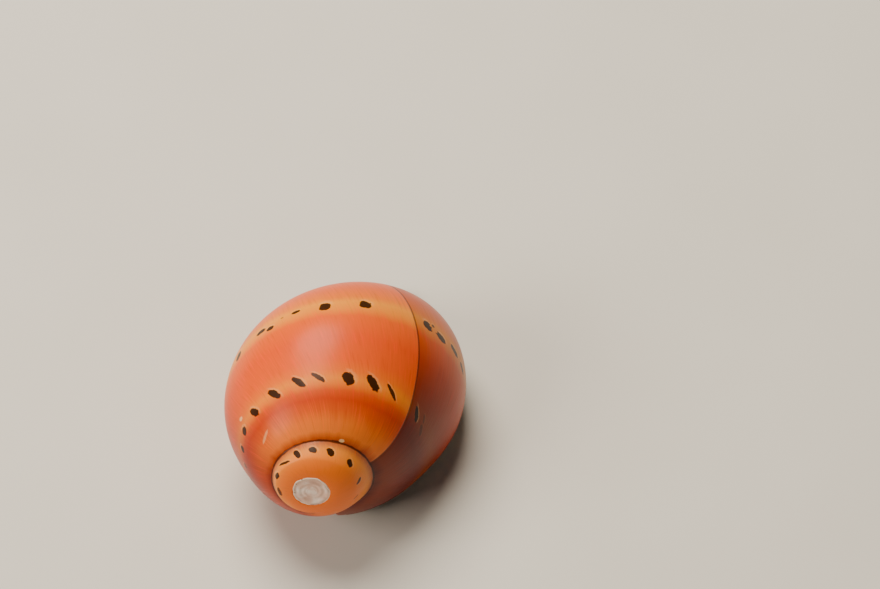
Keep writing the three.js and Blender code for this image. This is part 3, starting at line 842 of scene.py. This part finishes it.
# The animal: soft muscle under one moist skin, held in the shell by a muscle deep inside. It is
# the sole, the body in the mouth of the shell, the head with its broad snout, two tentacles and
# an eye stalk outside each.
flesh_points, flesh_faces = [], []


def add_flesh(rings):
    """One more closed form of the flesh, its points numbered on from those before."""
    points, faces = closed_form(rings, sum(len(points) for points in flesh_points))
    flesh_points.append(points)
    flesh_faces.append(faces)


ball_rings, ball_sides, ball_pole = 40, 64, 1.55
limb_rings, limb_sides = 60, 24
tip_power, tip_start, tip_least = 24, 1.02, 0.03


def ball(middle, half):
    """Rings of an ellipsoid, from its lowest point up: the half sizes times the cosine of the
    rise and its sine."""
    rise = np.linspace(-ball_pole, ball_pole, ball_rings)[:, None]
    around = np.linspace(0, math.tau, ball_sides, endpoint=False)
    out = np.cos(rise)
    ring = np.stack([out * np.cos(around), out * np.sin(around), np.sin(rise) + 0 * around], -1)
    return np.array(middle) + ring * np.array(half)


def limb(route, root, tip):
    """Rings along a line through a few points, with a taper from root to tip and a round end.
    The line is the polynomial that passes through all the points."""
    route = np.array(route)
    knots = np.arange(len(route))
    fine = np.linspace(0, len(route) - 1, limb_rings)
    curves = [np.polyfit(knots, route[:, i], len(route) - 1) for i in range(3)]
    line = np.stack([np.polyval(curve, fine) for curve in curves], -1)
    along = np.gradient(line, axis=0)
    along /= np.linalg.norm(along, axis=1, keepdims=True)
    side = np.cross([0.0, 0.0, 1.0], along)
    side /= np.linalg.norm(side, axis=1, keepdims=True)
    up = np.cross(along, side)
    around = np.linspace(0, math.tau, limb_sides, endpoint=False)[:, None]
    share = np.linspace(0, 1, limb_rings)
    rounding = np.sqrt(np.clip(tip_start - share**tip_power, tip_least, 1))
    thick = (root + (tip - root) * share) * rounding
    ring = np.cos(around) * side[:, None] + np.sin(around) * up[:, None]
    return line[:, None] + thick[:, None, None] * ring


# The foot is an oval with a frilled margin, and its profile is shares of the oval at heights in
# margins. The body's is shares of the mouth's outline at heights over the mouth's plane.
foot_half = np.array([6.5, 9.3])
foot_turn = math.radians(-12)
foot_margin = 0.75
frill_waves = [(0.006, 13, 0), (0.005, 23, 1)]
frill_loss = 0.008
foot_profile = [
    (0.5, 0), (0.95, 0), (0.985, 0.12), (1, 0.35), (0.985, 0.65), (0.94, 0.85), (0.86, 1.05),
    (0.75, 1.3), (0.62, 1.75), (0.52, 2.4), (0.45, 2.9), (0.1, 3.0),
]
foot_around = np.linspace(0, math.tau, 240, endpoint=False)
frill_wave = sum(size * np.sin(count * foot_around + start) for size, count, start in frill_waves)
foot_share, foot_height = np.array(foot_profile).T[..., None]
foot_out = foot_share * (1 + frill_wave - frill_loss)
foot_x = foot_out * foot_half[0] * np.cos(foot_around)
foot_y = foot_out * foot_half[1] * np.sin(foot_around)
foot_z = foot_height * foot_margin + 0 * foot_x
add_flesh(np.stack([*turned(foot_x, foot_y, foot_turn), foot_z], -1))
body_inset, body_nearest = 1.15, 0.5
body_middle = np.array([3.2, 0.0])
body_profile = [
    (0.45, -1.6), (0.55, -0.5), (0.7, 0.35), (0.93, 0.6), (1, 1.0), (0.98, 2.9), (0.3, 3.1),
]
body_outline = loop_points[:, :2] + body_inset * inward
body_outline[:, 0] = np.maximum(body_outline[:, 0], body_nearest)
body_share, body_height = np.array(body_profile).T[..., None]
body_x = body_middle[0] + body_share * (body_outline[:, 0] - body_middle[0])
body_y = body_middle[1] + body_share * (body_outline[:, 1] - body_middle[1])
add_flesh(over_floor(body_x, body_y, body_height + 0 * body_x))
head_balls = [
    ((1.0, 9.0, 1.95), (3.0, 3.3, 1.3)),
    ((1.0, 6.6, 1.9), (3.0, 3.6, 1.2)),
    ((1.1, 12.2, 0.8), (2.3, 1.72, 0.85)),
]
for middle, half in head_balls:
    add_flesh(ball(middle, half))
tentacle_root, tentacle_tip, stalk_root, stalk_tip = 0.6, 0.22, 0.55, 0.42
tentacle_routes = [
    [(-0.9, 10.5, 2.2), (-2.8, 12.1, 2.2), (-4.7, 13.0, 1.7), (-6.3, 13.0, 1.2), (-7.6, 12.4, 0.8)],
    [(2.6, 10.3, 2.2), (3.5, 11.0, 2.0), (4.4, 10.9, 1.5), (5.3, 10.0, 1.0), (5.9, 9.0, 0.8)],
]
stalk_routes = [
    [(-0.6, 9.3, 2.1), (-1.6, 9.75, 2.35), (-2.6, 10.2, 2.55)],
    [(2.6, 9.2, 2.1), (3.6, 9.4, 2.35), (4.6, 9.7, 2.55)],
]
for route in tentacle_routes:
    add_flesh(limb(route, tentacle_root, tentacle_tip))
for route in stalk_routes:
    add_flesh(limb(route, stalk_root, stalk_tip))
flesh = make_piece("flesh", np.concatenate(flesh_points), np.concatenate(flesh_faces))

# The forms become one skin on a fine grid. It is smoothed, and its sole is kept on the floor.
skin_cell = 0.13
smoothings = 8
remesh = flesh.modifiers.new("skin", "REMESH")
remesh.mode = "VOXEL"
remesh.voxel_size = skin_cell * millimetre
remesh.use_smooth_shade = True
evaluated = flesh.evaluated_get(bpy.context.evaluated_depsgraph_get())
skin = bpy.data.meshes.new_from_object(evaluated)
flesh.modifiers.clear()
flesh.data = skin
shape = bmesh.new()
shape.from_mesh(skin)
every_way = dict(use_axis_x=True, use_axis_y=True, use_axis_z=True)
for _ in range(smoothings):
    bmesh.ops.smooth_vert(shape, verts=shape.verts, factor=0.5, **every_way)
shape.to_mesh(skin)
shape.free()
skin_points = np.empty(3 * len(skin.vertices), np.float32)
skin.vertices.foreach_get("co", skin_points)
skin_points[2::3] = np.maximum(skin_points[2::3], 0)
skin.vertices.foreach_set("co", skin_points)
skin.update()
skin.shade_smooth()
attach(flesh, "root")
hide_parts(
    "foot", "mantle", "head", "snout", "eye_stalk_left", "eye_stalk_right",
    *[f"tentacle_{side}_{length}" for side in ("left", "right") for length in ("root", "middle", "tip")],
)

# Grey-brown and moist, speckled darker above, paler towards the edge of the sole and under it.
skin_grey, skin_dark = paint("8C8068"), paint("5E5442")
speckle_black, sole_pale = paint("241C14"), paint("B8AB90")
sole_top, sole_bottom = 0.0009, 0.0002
tree, shader, place_on = new_material(flesh, "moist_skin", 0.42, 0.25, 0.12)
shader.inputs["Subsurface Weight"].default_value = 0.15
shader.inputs["Subsurface Scale"].default_value = 0.0006
parts = place(tree, "SeparateXYZ", {"Vector": place_on})
skin_colour = blend(tree, spots_on(tree, place_on, 500, 0.4, 0.65), skin_grey, skin_dark)
speckles = times(tree, spots_on(tree, place_on, 2600, 0.56, 0.63), 0.75)
skin_colour = blend(tree, speckles, skin_colour, speckle_black)
near_sole = times(tree, fade(tree, parts.outputs["Z"], sole_top, sole_bottom), 0.85)
skin_colour = blend(tree, near_sole, skin_colour, sole_pale)
fine_wrinkles, folds = noise(tree, place_on, 2400, 3.0), noise(tree, place_on, 700)
wrinkles = maths(tree, "MULTIPLY_ADD", fine_wrinkles, 0.4, folds)
dress(tree, shader, skin_colour, wrinkles, 0.5, 0.00015)

# The eyes: small wet black beads of the animal's own skin, one on the end of each stalk, half
# sunk in it. A faint brown mottle lies under the shine.
eye_radius = 0.42
eye_places = [("left", (-3.0, 10.4, 2.6)), ("right", (5.0, 9.8, 2.6))]
for side, middle in eye_places:
    eye = make_piece(f"eyeball_{side}", *closed_form(ball(middle, [eye_radius] * 3)))
    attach(eye, "root")
    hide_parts(f"eye_{side}")
    tree, shader, place_on = new_material(eye, f"eye_{side}", 0.06, 0.5, 0.03)
    mottled = spots_on(tree, place_on, 2000, 0.5, 0.7)
    dress(tree, shader, blend(tree, mottled, paint("080605"), paint("1C130C")))

# The floor and the light: a pale matt table that the sole rests on, a faint warm sky, and two
# soft round studio lamps that face the snail, the key from the front and the side from the left.
floor_half = 2
floor_corners = [(x * floor_half, y * floor_half, 0) for x, y in ((-1, -1), (1, -1), (1, 1), (-1, 1))]
floor = bpy.data.meshes.new("floor")
floor.from_pydata(floor_corners, [], [(0, 1, 2, 3)])
floor_object = bpy.data.objects.new("floor", floor)
bpy.context.scene.collection.objects.link(floor_object)
tree, shader, place_on = new_material(floor_object, "pale_floor", 0.9, specular=0.1)
dress(tree, shader, blend(tree, noise(tree, place_on, 60), paint("E4E0DA"), paint("DCD8D0")))
world = bpy.data.worlds.new("world")
bpy.context.scene.world = world
world.use_nodes = True
sky = world.node_tree.nodes["Background"]
sky.inputs["Color"].default_value = (1, 0.97, 0.93, 1)
sky.inputs["Strength"].default_value = 0.06

# Each lamp's place and size are in metres, and its energy in watts.
lamps = [
    ("key", (-0.08, 0.15, 0.36), 0.26, 2.4, (1, 0.9, 0.74)),
    ("side", (-0.32, -0.16, 0.28), 0.25, 1.3, (1, 0.92, 0.78)),
]
for name, spot, size, energy, tint in lamps:
    lamp = bpy.data.lights.new(name, "AREA")
    lamp.shape = "DISK"
    lamp.size = size
    lamp.energy = energy
    lamp.color = tint
    lamp_object = bpy.data.objects.new(name, lamp)
    bpy.context.scene.collection.objects.link(lamp_object)
    lamp_object.location = spot
    lamp_object.rotation_euler = (-Vector(spot)).to_track_quat("-Z", "Y").to_euler()
